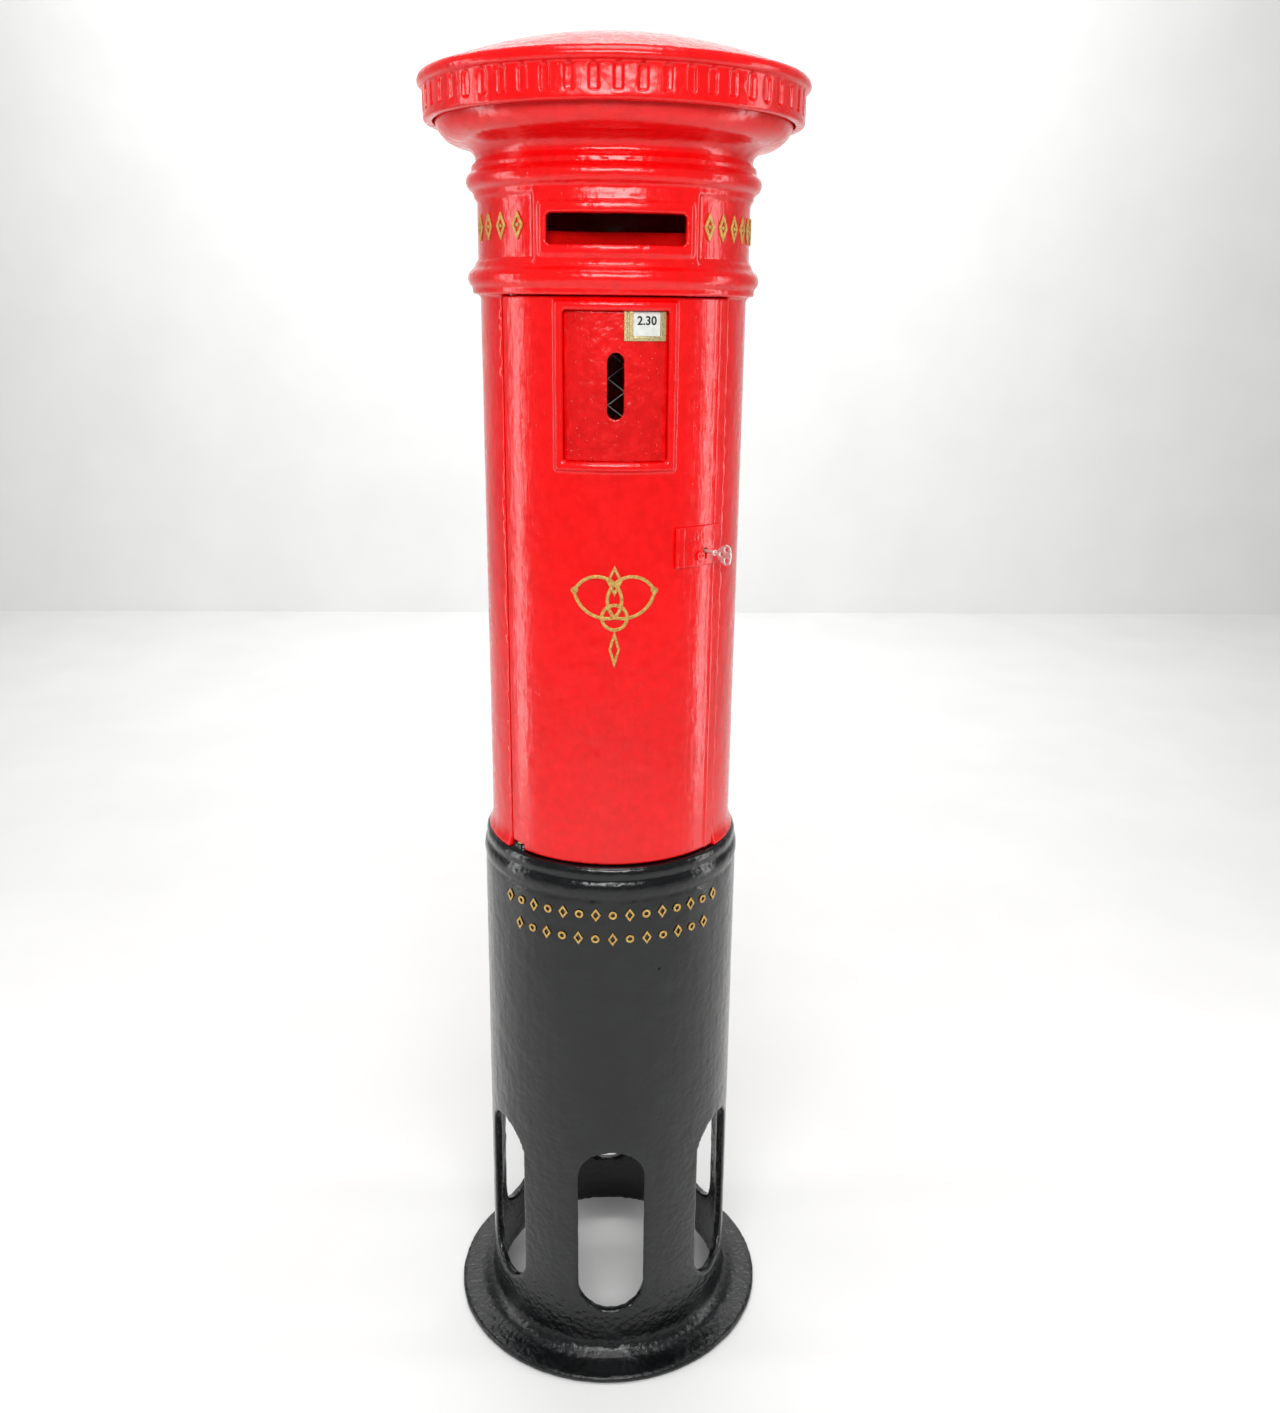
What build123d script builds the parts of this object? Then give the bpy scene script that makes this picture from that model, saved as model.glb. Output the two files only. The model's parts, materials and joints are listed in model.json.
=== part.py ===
from build123d import *
import os
from math import cos, degrees, radians, sin, sqrt

# Narrow cast-iron letter pillar box. Millimetres, +Z up, origin at the centre of the foot's
# underside, the door and the letter aperture face -Y. Azimuth is measured from the front (-Y)
# towards +X, so a place on the barrel is given by radius, azimuth and height.

# ---- Plinth casting ----
PLINTH_RADIUS_HIGH = 204.0
PLINTH_RADIUS_LOW = PLINTH_RADIUS_HIGH + 3.0
FOOT_RADIUS = PLINTH_RADIUS_LOW + 59.7
FOOT_THICKNESS = 12.0
FOOT_COVE = 27.0
PLINTH_WALL = 14.0
PLINTH_HEIGHT = 903.0
PLINTH_RIM_RADIUS = PLINTH_RADIUS_HIGH - 3.5
PLINTH_FLANGE_THICKNESS = 14.0
WINDOW_COUNT = 6
WINDOW_WIDTH = 108.0
WINDOW_LOW = 93.0
WINDOW_HIGH = WINDOW_LOW + 312.0

# ---- Barrel and head casting ----
BARREL_RADIUS = PLINTH_RADIUS_HIGH - 13.5
BARREL_WALL = 12.0
BARREL_HEIGHT = 812.0
HEAD_BOTTOM = PLINTH_HEIGHT + BARREL_HEIGHT
HEAD_HEIGHT = HEAD_BOTTOM + 260.0
BEAD_RADIUS = BARREL_RADIUS + 17.2
FRIEZE_RADIUS = BARREL_RADIUS + 2.0
NECK_RADIUS = BARREL_RADIUS + 3.1
HEAD_FLANGE_RADIUS = BARREL_RADIUS + 56.5
HEAD_FLANGE_THICKNESS = 12.0
BODY_FLANGE_THICKNESS = 12.0
BODY_FLANGE_BORE = BARREL_RADIUS - 50.5
APERTURE_WIDTH = 181.0
APERTURE_LOW = HEAD_BOTTOM + 62.0
APERTURE_HIGH = APERTURE_LOW + 38.0
STOP_LIP_DEPTH = 12.5

# ---- Cap casting ----
CAP_LIP_RADIUS = HEAD_FLANGE_RADIUS + 23.0
CAP_SKIRT_RADIUS = CAP_LIP_RADIUS - 7.2
CAP_SKIRT_THICKNESS = 12.5
CAP_SKIRT_LOW = HEAD_HEIGHT - 38.0
CAP_RISE = 50.0
CAP_TOP = HEAD_HEIGHT + 73.0
CAP_THICKNESS = 12.0
FLUTE_COUNT = 55
FLUTE_WIDTH = 12.5
FLUTE_DEPTH = 3.3
FLUTE_LOW = CAP_SKIRT_LOW + 11.0
FLUTE_HIGH = FLUTE_LOW + 30.5

# ---- Door ----
DOOR_HALF_ANGLE = 53.5
DOOR_THICKNESS = 10.0
DOOR_GAP = 1.5
SEAM_GAP = 1.0
PIVOT_DEPTH = 9.0
PIVOT_INSET = 13.0
PIVOT_RADIUS = 4.0
PIVOT_CLEARANCE = 0.1
PIVOT_BOSS_WIDTH = 34.0
PIVOT_PAD_HEIGHT = 9.0
PIVOT_PAD_WIDTH = 26.0
WASHER_THICKNESS = 1.5
PLATE_WIDTH = 140.0
PLATE_HIGH = HEAD_BOTTOM - 19.0
PLATE_LOW = PLATE_HIGH - 196.0
PLATE_THICKNESS = 4.0
MOULDING_WIDTH = 12.0
MOULDING_RISE = 7.0
SLOT_WIDTH = 22.0
SLOT_LOW = PLATE_LOW + 56.0
SLOT_HIGH = SLOT_LOW + 87.0

# ---- Day tablet, at the right of the notice plate ----
TABLET_WIDTH = 37.0
TABLET_LOW = PLATE_HIGH - 32.0
TABLET_CENTRE = 42.0
HOLDER_LEFT = 10.8
HOLDER_RIGHT = 66.5
HOLDER_THICKNESS = 3.0

# ---- Lock ----
LOCK_AZIMUTH = 37.0
KEY_OFFSET = 17.6
KEY_HEIGHT = PLINTH_HEIGHT + 468.5
LOCK_HALF_WIDTH = 32.0
LOCK_BELOW_KEY = 22.0
LOCK_ABOVE_KEY = 38.0
LOCK_OUTER = BARREL_RADIUS - DOOR_THICKNESS - 4.5
LOCK_INNER = LOCK_OUTER - 23.0
LOCK_WALL = 2.5
BOLT_THICKNESS = 8.0
BOLT_HEIGHT = 16.0
BOLT_ABOVE_KEY = 12.0
BOLT_THROW = 14.0
KEY_SHANK_RADIUS = 2.6
PAD_LEFT_AZIMUTH = 26.0
PAD_RIGHT_AZIMUTH = 51.5
PAD_LOW = KEY_HEIGHT - 20.5
PAD_HIGH = PAD_LOW + 57.0
PAD_RISE = 3.5

# ---- Wire guard behind the door ----
GUARD_PLANE = BARREL_RADIUS - 98.5
GUARD_HINGE_X = 78.5 - BARREL_RADIUS
GUARD_RIGHT_X = BARREL_RADIUS - 72.5
GUARD_LOW = PLINTH_HEIGHT + 32.0
GUARD_HIGH = HEAD_BOTTOM - 30.0
GUARD_ROD_RADIUS = 4.0
WIRE_THICKNESS = 2.0
MESH_PITCH = 23.0
MESH_STEP = 18.0
LUG_THICKNESS = 8.0

# ---- Fasteners and fits ----
BOLT_RADIUS = 6.0
BOLT_HEAD_ACROSS_FLATS = 18.0
BOLT_HEAD_HEIGHT = 8.0
SMALL_SCREW_RADIUS = 2.0
RUNNING_GAP = 0.3
GILT_RISE = 2.2
PAINT_GAP = 0.5

PLINTH_BORE = PLINTH_RADIUS_HIGH - PLINTH_WALL
BARREL_BORE = BARREL_RADIUS - BARREL_WALL
STOP_LIP_BORE = BARREL_BORE - STOP_LIP_DEPTH
DOOR_BORE = BARREL_RADIUS - DOOR_THICKNESS
DOOR_LOW = PLINTH_HEIGHT + 2.0
DOOR_HIGH = HEAD_BOTTOM - DOOR_GAP
TALL = 4000.0


# ---- Placing and shaping helpers ----
def polar(radius, azimuth, height=0.0):
    return Vector(radius * sin(radians(azimuth)), -radius * cos(radians(azimuth)), height)


def facing(azimuth):
    """A plane looking outward: local x runs along the barrel, local y is up, local z is radial."""
    tangent = (cos(radians(azimuth)), sin(radians(azimuth)), 0)
    outward = (sin(radians(azimuth)), -cos(radians(azimuth)), 0)
    return Plane(origin=(0, 0, 0), x_dir=tangent, z_dir=outward)


def arc_angle(length, radius=BARREL_RADIUS):
    return degrees(length / radius)


def tube(inner, outer, low, high):
    ring = Pos(0, 0, low) * Cylinder(outer, high - low, align=(Align.CENTER, Align.CENTER, Align.MIN))
    if inner > 0:
        ring -= Pos(0, 0, low) * Cylinder(inner, high - low, align=(Align.CENTER, Align.CENTER, Align.MIN))
    return ring


def sector(inner, outer, start, end, low, high):
    """A piece of a tube between two azimuths: the tube kept inside a wedge."""
    steps = 1 + int((end - start) / 30)
    fan = [polar(2 * outer, start + (end - start) * index / steps) for index in range(steps + 1)]
    outline = Polyline((0, 0), *[(place.X, place.Y) for place in fan], close=True)
    wedge = Pos(0, 0, low) * extrude(make_face(outline), high - low)
    return tube(inner, outer, low, high) & wedge


def block(azimuth, left, right, low, high, inner, outer):
    """A straight-sided block in the facing plane of an azimuth."""
    place = Pos((left + right) / 2, (low + high) / 2, (inner + outer) / 2)
    return facing(azimuth) * place * Box(right - left, high - low, outer - inner)


def radial_bar(azimuth, offset, height, radius, inner, outer):
    place = Pos(offset, height, inner)
    bar = Cylinder(radius, outer - inner, align=(Align.CENTER, Align.CENTER, Align.MIN))
    return facing(azimuth) * place * bar


def upright(x, y, radius, low, high):
    return Pos(x, y, low) * Cylinder(radius, high - low, align=(Align.CENTER, Align.CENTER, Align.MIN))


def lathe(edges):
    """Turn a closed outline of edges, drawn as (radius, height), about the upright axis."""
    return revolve(Plane.XZ * make_face(Curve() + edges), Axis.Z, 360)


def chain(*stations):
    """Edges through (radius, height) points. A station of two points is an arc: through, to."""
    edges = []
    last = stations[0]
    for station in stations[1:]:
        if isinstance(station[0], tuple):
            edges.append(ThreePointArc(last, station[0], station[1]))
            last = station[1]
        else:
            edges.append(Line(last, station))
            last = station
    edges.append(Line(last, stations[0]))
    return edges


def hex_head(x, y, low):
    return Pos(x, y, low) * extrude(RegularPolygon(BOLT_HEAD_ACROSS_FLATS / 2, 6, major_radius=False),
                                    BOLT_HEAD_HEIGHT)


def save(name, shape):
    export_step(shape, f"parts/{name}.step")


# ---- Places that several pieces share ----
SEAM_AZIMUTH = -DOOR_HALF_ANGLE
PIVOT_RING = BARREL_RADIUS - PIVOT_DEPTH
PIVOT_AZIMUTH = SEAM_AZIMUTH + arc_angle(PIVOT_INSET, PIVOT_RING)
PIVOT = polar(PIVOT_RING, PIVOT_AZIMUTH)
DOOR_EDGE_SWEEP = sqrt(PIVOT_DEPTH ** 2 + PIVOT_INSET ** 2)
SOCKET_RADIUS = DOOR_EDGE_SWEEP + 0.8
RIGHT_JAMB = DOOR_HALF_ANGLE + arc_angle(SEAM_GAP)
STOP_LIP_EDGE = DOOR_HALF_ANGLE - 2.0
POST_FAR_AZIMUTH = SEAM_AZIMUTH - 12.0
POST_BORE = BARREL_BORE - 18.0
PAD_START = SEAM_AZIMUTH - arc_angle(SEAM_GAP)
PAD_END = SEAM_AZIMUTH + arc_angle(PIVOT_PAD_WIDTH)
PAD_BORE = PIVOT_RING - PIVOT_DEPTH - 2.0
PAD_TOP = PLINTH_HEIGHT + PIVOT_PAD_HEIGHT
BOLT_CIRCLE = (BODY_FLANGE_BORE + BARREL_BORE) / 2 + 6.0
CAP_BOLT_CIRCLE = HEAD_FLANGE_RADIUS - 34.0
KEY_RADIAL = sqrt(BARREL_RADIUS ** 2 - KEY_OFFSET ** 2)
BOLT_INNER = (LOCK_INNER + LOCK_OUTER) / 2 - BOLT_THICKNESS / 2
BOLT_LOW = KEY_HEIGHT + BOLT_ABOVE_KEY
BOLT_END = LOCK_HALF_WIDTH - 1.0
LOCK_LOW = KEY_HEIGHT - LOCK_BELOW_KEY
LOCK_HIGH = KEY_HEIGHT + LOCK_ABOVE_KEY
PLATE_OUTER = BARREL_RADIUS - 3.5
PLATE_INNER = PLATE_OUTER - PLATE_THICKNESS
LEDGE = 4.0
TABLET_HIGH = PLATE_HIGH - 1.0
TABLET_AZIMUTH = arc_angle(TABLET_CENTRE)
UPPER_RIVETS = (HEAD_BOTTOM - 21.0, HEAD_BOTTOM - 60.0, HEAD_BOTTOM - 98.0)
LOWER_RIVETS = (PLINTH_HEIGHT + 22.0, PLINTH_HEIGHT + 61.0, PLINTH_HEIGHT + 100.0)
RIVET_OFFSET = 23.5


def bolt_azimuths(count):
    return [360.0 / count * (index + 0.5) for index in range(count)]


# ---- Plinth ----
def base_casting():
    foot_bore = PLINTH_RADIUS_LOW - PLINTH_WALL
    cove_start = FOOT_THICKNESS + FOOT_COVE
    cove_middle = FOOT_COVE * (1 - sqrt(0.5))
    flange_low = PLINTH_HEIGHT - PLINTH_FLANGE_THICKNESS
    ring_top = PLINTH_HEIGHT - 22.0
    ring_low = ring_top - 27.0
    outline = chain(
        (foot_bore, 0), (FOOT_RADIUS - 3, 0), (FOOT_RADIUS, 3), (FOOT_RADIUS, FOOT_THICKNESS - 4),
        ((FOOT_RADIUS - 1.2, FOOT_THICKNESS - 1.2), (FOOT_RADIUS - 4, FOOT_THICKNESS)),
        (PLINTH_RADIUS_LOW + FOOT_COVE, FOOT_THICKNESS),
        ((PLINTH_RADIUS_LOW + cove_middle, FOOT_THICKNESS + cove_middle), (PLINTH_RADIUS_LOW, cove_start)),
        (PLINTH_RADIUS_HIGH, ring_low - 4),
        (PLINTH_RADIUS_HIGH - 1.2, ring_low), (PLINTH_RADIUS_HIGH, ring_low + 2),
        ((PLINTH_RADIUS_HIGH + 1.6, ring_low + 13), (PLINTH_RADIUS_HIGH - 0.5, ring_top - 3)),
        (PLINTH_RIM_RADIUS - 1.5, ring_top), (PLINTH_RIM_RADIUS, ring_top + 4),
        ((PLINTH_RIM_RADIUS + 1.2, ring_top + 11), (PLINTH_RIM_RADIUS - 2, PLINTH_HEIGHT - 1)),
        (PLINTH_RIM_RADIUS - 4, PLINTH_HEIGHT), (BODY_FLANGE_BORE, PLINTH_HEIGHT),
        (BODY_FLANGE_BORE, flange_low), (PLINTH_BORE - 8, flange_low), (PLINTH_BORE, flange_low - 8))
    casting = lathe(outline)
    centre = (WINDOW_LOW + WINDOW_HIGH) / 2
    window = Rot(0, 0, 90) * SlotOverall(WINDOW_HIGH - WINDOW_LOW, WINDOW_WIDTH)
    for index in range(WINDOW_COUNT):
        plane = facing(360.0 / WINDOW_COUNT * index)
        casting -= plane * Pos(0, centre, foot_bore - 40) * extrude(window, 80)
    pad = sector(PAD_BORE, BARREL_RADIUS, PAD_START, PAD_END, PLINTH_HEIGHT - 1, PAD_TOP)
    casting += pad & upright(PIVOT.X, PIVOT.Y, PIVOT_PAD_WIDTH / 2 + 0.5, PLINTH_HEIGHT - 1, PAD_TOP)
    casting -= upright(PIVOT.X, PIVOT.Y, PIVOT_RADIUS, flange_low, PAD_TOP + 1)
    for azimuth in bolt_azimuths(6):
        place = polar(BOLT_CIRCLE, azimuth)
        casting -= upright(place.X, place.Y, BOLT_RADIUS, flange_low - 1, PLINTH_HEIGHT + 1)
    return casting


# ---- Barrel and head ----
def head_outline():
    """The outside of the casting from the plinth up to the cap seat, as (radius, height)."""
    low = HEAD_BOTTOM
    return [
        (BARREL_RADIUS + 7.5, PLINTH_HEIGHT),
        ((BARREL_RADIUS + 2.6, PLINTH_HEIGHT + 11), (BARREL_RADIUS, PLINTH_HEIGHT + 28)),
        (BARREL_RADIUS, low), (BARREL_RADIUS + 8, low),
        ((BARREL_RADIUS + 11, low + 4), (BARREL_RADIUS + 7.5, low + 8)),
        ((BEAD_RADIUS, low + 21.5), (BARREL_RADIUS + 7, low + 35)),
        (BARREL_RADIUS + 7, low + 38), (BARREL_RADIUS + 5.5, low + 43), (FRIEZE_RADIUS, low + 45),
        (FRIEZE_RADIUS, low + 124), (FRIEZE_RADIUS + 4, low + 126), (FRIEZE_RADIUS + 5, low + 132),
        (FRIEZE_RADIUS + 4.5, low + 135),
        ((BEAD_RADIUS, low + 148), (FRIEZE_RADIUS + 5.5, low + 160)),
        (FRIEZE_RADIUS + 6.5, low + 163),
        ((FRIEZE_RADIUS + 7.5, low + 166), (FRIEZE_RADIUS + 5, low + 169)),
        (NECK_RADIUS, low + 173), (NECK_RADIUS, low + 179),
        ((NECK_RADIUS + 5.4, low + 187), (NECK_RADIUS + 18.4, low + 194.5)),
        ((NECK_RADIUS + 40.4, low + 202), (HEAD_FLANGE_RADIUS, low + 222)),
        (HEAD_FLANGE_RADIUS, HEAD_HEIGHT)]


def body_casting():
    flange_top = PLINTH_HEIGHT + BODY_FLANGE_THICKNESS
    seat_low = HEAD_HEIGHT - HEAD_FLANGE_THICKNESS
    hollow_radius = HEAD_FLANGE_RADIUS - 15
    seat_bore = CAP_BOLT_CIRCLE - 17
    inside = [
        (seat_bore, HEAD_HEIGHT), (seat_bore, seat_low), (hollow_radius, seat_low),
        (hollow_radius, seat_low - 26), (BARREL_BORE, HEAD_BOTTOM + 180),
        (BARREL_BORE, HEAD_BOTTOM + 24), (STOP_LIP_BORE, HEAD_BOTTOM + 14),
        (STOP_LIP_BORE, HEAD_BOTTOM), (BARREL_BORE, HEAD_BOTTOM),
        (BARREL_BORE, flange_top), (BODY_FLANGE_BORE, flange_top), (BODY_FLANGE_BORE, PLINTH_HEIGHT)]
    casting = lathe(chain(*head_outline(), *inside))
    # letter aperture with its two stepped frames
    outer_half = APERTURE_WIDTH / 2 + 18
    inner_half = APERTURE_WIDTH / 2 + 9.5
    outer_slab = block(0, -outer_half, outer_half, APERTURE_LOW - 21.5, APERTURE_HIGH + 26.5, 100, 260)
    inner_slab = block(0, -inner_half, inner_half, APERTURE_LOW - 12, APERTURE_HIGH + 12, 100, 260)
    casting += outer_slab & tube(BARREL_BORE + 2, FRIEZE_RADIUS + 5.5, HEAD_BOTTOM, HEAD_HEIGHT)
    casting += inner_slab & tube(BARREL_BORE + 2, FRIEZE_RADIUS + 9, HEAD_BOTTOM, HEAD_HEIGHT)
    half = APERTURE_WIDTH / 2
    casting -= block(0, -half, half, APERTURE_LOW, APERTURE_HIGH, 100, 260)
    # jambs behind the door's edges, then the door opening itself
    bite = 2.0
    casting += sector(STOP_LIP_BORE, BARREL_BORE + bite, STOP_LIP_EDGE, RIGHT_JAMB + 4,
                      flange_top - bite, HEAD_BOTTOM + bite)
    casting += sector(POST_BORE, BARREL_BORE + bite, POST_FAR_AZIMUTH, PAD_START, flange_top - bite,
                      HEAD_BOTTOM + bite)
    casting -= sector(BARREL_BORE - 1, BARREL_RADIUS + 20, PAD_START, RIGHT_JAMB, PLINTH_HEIGHT - 1,
                      HEAD_BOTTOM)
    casting -= upright(PIVOT.X, PIVOT.Y, SOCKET_RADIUS, PLINTH_HEIGHT - 1, HEAD_BOTTOM)
    boss_end = SEAM_AZIMUTH + arc_angle(PIVOT_BOSS_WIDTH)
    casting -= sector(PAD_BORE - 1, BARREL_BORE + 1, PAD_START - 2, boss_end + 2, PLINTH_HEIGHT - 1,
                      flange_top + 1)
    # pivot bore, flange bolts, cap bolts and the keeper's seat
    casting -= upright(PIVOT.X, PIVOT.Y, PIVOT_RADIUS, HEAD_BOTTOM - 1, HEAD_BOTTOM + 17)
    for azimuth in bolt_azimuths(6):
        place = polar(BOLT_CIRCLE, azimuth)
        casting -= upright(place.X, place.Y, BOLT_RADIUS, PLINTH_HEIGHT - 1, flange_top + 1)
        place = polar(CAP_BOLT_CIRCLE, azimuth)
        casting -= upright(place.X, place.Y, BOLT_RADIUS, seat_low - 1, HEAD_HEIGHT + 1)
    casting -= sector(STOP_LIP_BORE - 1, BARREL_BORE, STOP_LIP_EDGE - 1, RIGHT_JAMB + 8,
                      BOLT_LOW - 12, BOLT_LOW + BOLT_HEIGHT + 12)
    return casting


# ---- Cap ----
def cap_casting():
    dome_edge = CAP_LIP_RADIUS - 14
    sphere = (dome_edge ** 2 + CAP_RISE ** 2) / (2 * CAP_RISE)
    centre = CAP_TOP - sphere
    lip_high = CAP_TOP - CAP_RISE
    skirt_bore = CAP_SKIRT_RADIUS - CAP_SKIRT_THICKNESS
    pad_outer = CAP_BOLT_CIRCLE + 15
    pad_inner = CAP_BOLT_CIRCLE - 15

    def dome(radius, inset=0.0):
        return centre + sqrt((sphere - inset) ** 2 - radius ** 2)

    outline = chain(
        (0, CAP_TOP), ((dome_edge / 2, dome(dome_edge / 2)), (dome_edge, lip_high)),
        ((CAP_LIP_RADIUS - 4, lip_high - 3.5), (CAP_LIP_RADIUS, lip_high - 11)),
        ((CAP_LIP_RADIUS - 1.5, lip_high - 15.5), (CAP_SKIRT_RADIUS, lip_high - 18)),
        (CAP_SKIRT_RADIUS, CAP_SKIRT_LOW + 4),
        ((CAP_SKIRT_RADIUS - 1.2, CAP_SKIRT_LOW + 1.2), (CAP_SKIRT_RADIUS - 4, CAP_SKIRT_LOW)),
        (skirt_bore, CAP_SKIRT_LOW), (skirt_bore, HEAD_HEIGHT + 8), (pad_outer, HEAD_HEIGHT + 8),
        (pad_outer, HEAD_HEIGHT), (pad_inner, HEAD_HEIGHT), (pad_inner, dome(pad_inner, CAP_THICKNESS)),
        ((pad_inner / 2, dome(pad_inner / 2, CAP_THICKNESS)), (0, CAP_TOP - CAP_THICKNESS)))
    casting = lathe(outline)
    flute_straight = FLUTE_HIGH - FLUTE_WIDTH / 2 - FLUTE_LOW
    flute = Pos(0, FLUTE_LOW + flute_straight / 2) * Rectangle(FLUTE_WIDTH, flute_straight)
    flute += Pos(0, FLUTE_HIGH - FLUTE_WIDTH / 2) * Circle(FLUTE_WIDTH / 2)
    flute_tool = Pos(0, 0, CAP_SKIRT_RADIUS - FLUTE_DEPTH) * extrude(flute, FLUTE_DEPTH + 2)
    cutters = [facing(360.0 / FLUTE_COUNT * index) * flute_tool for index in range(FLUTE_COUNT)]
    casting -= cutters
    for azimuth in bolt_azimuths(6):
        place = polar(CAP_BOLT_CIRCLE, azimuth)
        casting -= upright(place.X, place.Y, BOLT_RADIUS, HEAD_HEIGHT - 1, HEAD_HEIGHT + 14)
    return casting


# ---- Bolts ----
def flange_fasteners():
    """Six bolts through the body flange and the plinth flange, and their nuts below."""
    top = PLINTH_HEIGHT + BODY_FLANGE_THICKNESS
    low = PLINTH_HEIGHT - PLINTH_FLANGE_THICKNESS
    bolts = []
    nuts = []
    for azimuth in bolt_azimuths(6):
        place = polar(BOLT_CIRCLE, azimuth)
        shank = upright(place.X, place.Y, BOLT_RADIUS, low - BOLT_HEAD_HEIGHT - 4, top)
        bolts.append(shank + hex_head(place.X, place.Y, top))
        bore = upright(place.X, place.Y, BOLT_RADIUS, low - 20, low)
        nuts.append(hex_head(place.X, place.Y, low - BOLT_HEAD_HEIGHT) - bore)
    return Compound(children=bolts), Compound(children=nuts)


def cap_bolts():
    seat_low = HEAD_HEIGHT - HEAD_FLANGE_THICKNESS
    bolts = []
    for azimuth in bolt_azimuths(6):
        place = polar(CAP_BOLT_CIRCLE, azimuth)
        shank = upright(place.X, place.Y, BOLT_RADIUS, seat_low, HEAD_HEIGHT + 12)
        bolts.append(shank + hex_head(place.X, place.Y, seat_low - BOLT_HEAD_HEIGHT))
    return Compound(children=bolts)


# ---- Letter path ----
def letter_chute():
    """One bent sheet: it rises behind the aperture as a baffle, then falls into the box."""
    thickness = 2.0
    half = APERTURE_WIDTH / 2 + 2
    front = BARREL_BORE - 22
    crest = APERTURE_LOW + 17
    line = Polyline((-front, APERTURE_LOW - 6), (-front + 24, crest), (-front + 52, crest - 4),
                    (-75, crest - 74))
    sheet = extrude(Plane.YZ * Pos(0, 0, -half) * trace(line, thickness), 2 * half)
    cheek_outline = Polyline((-front, APERTURE_LOW - 8), (-front, APERTURE_HIGH + 20),
                             (-75, APERTURE_HIGH + 20), (-75, crest - 76), (-front + 52, crest - 6),
                             (-front + 24, crest - 2), close=True)
    cheek = extrude(Plane.YZ * make_face(cheek_outline), thickness)
    left = Pos(-half - thickness, 0, 0) * cheek
    right = Pos(half, 0, 0) * cheek
    lug_high = APERTURE_HIGH + 20
    ears = []
    for side in (-1, 1):
        ear = Box(26, front - 120, thickness)
        ears.append(Pos(side * (half + 13), -(front + 120) / 2, lug_high - thickness / 2) * ear)
    chute = sheet + left + right + ears
    return chute & tube(0, BARREL_BORE - PAINT_GAP, HEAD_BOTTOM - 100, HEAD_HEIGHT)


def chute_brackets():
    """Two angle brackets that hang the chute from the head's wall."""
    half = APERTURE_WIDTH / 2 + 4
    high = APERTURE_HIGH + 20
    inner_end = half - 8
    length = BARREL_BORE - inner_end
    brackets = []
    for side in (-1, 1):
        arm = Pos(side * (inner_end + length / 2), -110, high + 2) * Box(length, 20, 4)
        brackets.append(arm & tube(0, BARREL_BORE, high, high + 4))
    return Compound(children=brackets)


def letter_floor():
    plate = tube(0, BODY_FLANGE_BORE + 13, PLINTH_HEIGHT + BODY_FLANGE_THICKNESS,
                 PLINTH_HEIGHT + BODY_FLANGE_THICKNESS + 4)
    return plate


# ---- Wire guard ----
def guard_frame():
    x0, x1 = GUARD_HINGE_X, GUARD_RIGHT_X
    rod = GUARD_ROD_RADIUS
    frame = upright(x0, -GUARD_PLANE, rod, GUARD_LOW, GUARD_HIGH)
    frame += upright(x0, -GUARD_PLANE, rod - 1, GUARD_LOW - 9, GUARD_HIGH + 9)
    frame += upright(x1, -GUARD_PLANE, rod, GUARD_LOW, GUARD_HIGH)
    length = x1 - x0
    for height in (GUARD_LOW + rod, (GUARD_LOW + GUARD_HIGH) / 2, GUARD_HIGH - rod):
        rail = Rot(0, 90, 0) * Cylinder(rod, length)
        frame += Pos((x0 + x1) / 2, -GUARD_PLANE, height) * rail
    return frame


def guard_mesh():
    """Interlocked zigzag wires, drawn flat; each end tucks against the frame."""
    left = GUARD_HINGE_X + GUARD_ROD_RADIUS
    right = GUARD_RIGHT_X - GUARD_ROD_RADIUS
    columns = int((right - left) / MESH_PITCH)
    pitch = (right - left) / columns
    middle = (GUARD_LOW + GUARD_HIGH) / 2
    panels = []
    spans = ((GUARD_LOW + 2 * GUARD_ROD_RADIUS, middle - GUARD_ROD_RADIUS),
             (middle + GUARD_ROD_RADIUS, GUARD_HIGH - 2 * GUARD_ROD_RADIUS))
    for low, high in spans:
        steps = int((high - low) / MESH_STEP)
        step = (high - low) / steps
        lattice = Sketch()
        for column in range(columns):
            points = []
            for index in range(steps + 1):
                side = (index + column) % 2
                points.append((left + (column + side) * pitch, low + index * step))
            lattice += trace(Polyline(*points), WIRE_THICKNESS)
        lattice &= Pos((left + right) / 2, (low + high) / 2) * Rectangle(right - left, high - low)
        panels.append(lattice)
    solids = []
    for panel in panels:
        sheet = Plane.XZ * Pos(0, 0, GUARD_PLANE - WIRE_THICKNESS / 2) * extrude(panel, WIRE_THICKNESS)
        solids.extend(sheet.solids())
    return Compound(children=solids)


def guard_lugs():
    lugs = []
    for low in (GUARD_LOW - LUG_THICKNESS - 1, GUARD_HIGH + 1):
        arm = Pos(GUARD_HINGE_X - 22, -GUARD_PLANE, low + LUG_THICKNESS / 2) * Box(64, 20, LUG_THICKNESS)
        arm &= tube(0, POST_BORE, low, low + LUG_THICKNESS)
        pintle_bore = GUARD_ROD_RADIUS - 1 + PIVOT_CLEARANCE
        lugs.append(arm - upright(GUARD_HINGE_X, -GUARD_PLANE, pintle_bore, low, low + 20))
    return Compound(children=lugs)


def guard_stop():
    height = (GUARD_LOW + GUARD_HIGH) / 2
    bar_y = -GUARD_PLANE + GUARD_ROD_RADIUS + RUNNING_GAP + 4
    bar = Pos(GUARD_RIGHT_X + 15, bar_y, height) * Box(56, 8, 30)
    return bar & tube(0, BARREL_BORE, height - 20, height + 20)


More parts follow.
